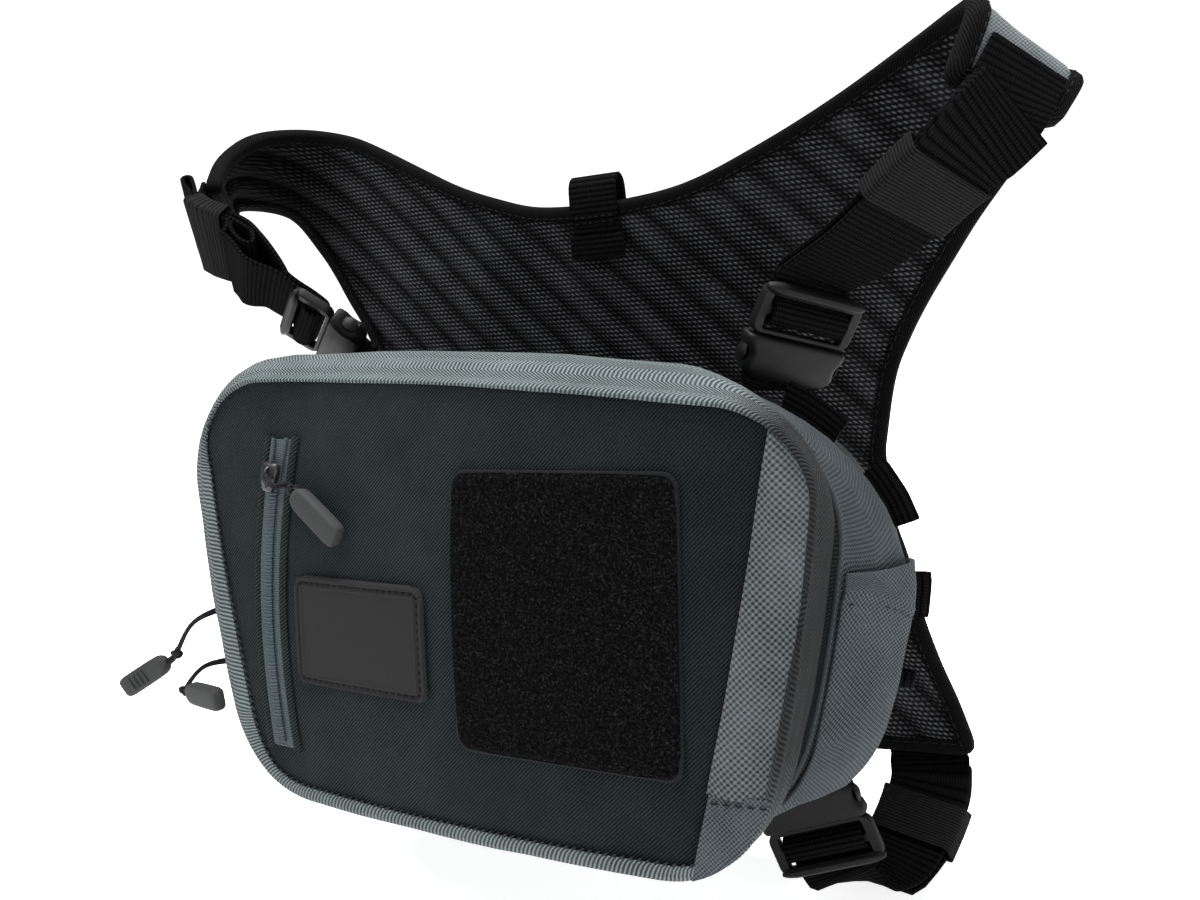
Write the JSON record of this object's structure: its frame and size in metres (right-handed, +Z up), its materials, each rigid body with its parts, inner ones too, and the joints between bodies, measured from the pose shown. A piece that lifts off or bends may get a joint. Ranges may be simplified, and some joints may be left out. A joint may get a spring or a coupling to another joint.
{
  "type": "chest tackle pack",
  "caption": "Zipped fabric bag worn on the chest, with a padded X-shaped back harness, adjustable webbing straps and side-release buckles.",
  "frame": {"origin": "centre of the bag's back panel, on the face that lies against the wearer's chest", "axes": "+Y from the bag towards the wearer, +Z up, +X towards the wearer's left, the front face looks along -Y"},
  "size_m": [0.3831, 0.1489, 0.3263],
  "materials": {
    "panel_dark": "dark fine twill",
    "fabric_teal": "grey-teal twill",
    "fabric_grey": "blue-grey plain weave",
    "fabric_light": "light grey open weave",
    "zip_slate": "woven zip tape",
    "loop_black": "fuzzy loop pile",
    "rubber_dark": "matt moulded",
    "mesh_black": "padded air mesh",
    "webbing_black": "ribbed webbing",
    "elastic_black": "ribbed elastic",
    "buckle_black": "semi-gloss moulded",
    "metal_dark": "dark coated"
  },
  "bodies": {
    "root": {"back_panel": "mesh_black", "bag_tab_lower_left": "webbing_black", "bag_tab_lower_right": "webbing_black", "bag_tab_upper_left": "webbing_black", "bag_tab_upper_right": "webbing_black", "buckle_body_lower_left": "buckle_black", "buckle_body_lower_right": "buckle_black", "buckle_body_upper_left": "buckle_black", "buckle_body_upper_right": "buckle_black", "buckle_frame_lower_left": "buckle_black", "buckle_frame_lower_right": "buckle_black", "buckle_frame_upper_left": "buckle_black", "buckle_frame_upper_right": "buckle_black", "corner_panel": "fabric_grey", "front_band": "fabric_teal", "front_gusset": "fabric_grey", "front_panel": "panel_dark", "front_pull_cord": "webbing_black", "front_puller": "rubber_dark", "front_zip_coil": "zip_slate", "front_zip_slider": "metal_dark", "front_zip_tape": "zip_slate", "hang_loop": "webbing_black", "harness_binding": "webbing_black", "harness_panel": "mesh_black", "label_tab": "webbing_black", "loop_field": "loop_black", "main_pull_cord_lower": "webbing_black", "main_pull_cord_upper": "webbing_black", "main_puller_lower": "rubber_dark", "main_puller_upper": "rubber_dark", "main_slider_lower": "metal_dark", "main_slider_upper": "metal_dark", "main_zip": "zip_slate", "rear_gusset": "fabric_grey", "rubber_patch": "rubber_dark", "shoulder_keeper_left": "elastic_black", "shoulder_keeper_right": "elastic_black", "shoulder_strap_left": "webbing_black", "shoulder_strap_right": "webbing_black", "side_loop_left_1": "webbing_black", "side_loop_left_2": "webbing_black", "side_loop_left_3": "webbing_black", "side_loop_left_4": "webbing_black", "side_loop_right_1": "webbing_black", "side_loop_right_2": "webbing_black", "side_loop_right_3": "webbing_black", "side_loop_right_4": "webbing_black", "side_pocket_left": "fabric_grey", "side_pocket_right": "fabric_grey", "waist_keeper_left": "elastic_black", "waist_keeper_right": "elastic_black", "waist_strap_left": "webbing_black", "waist_strap_right": "webbing_black", "woven_insert": "fabric_light"}
  },
  "joints": []
}
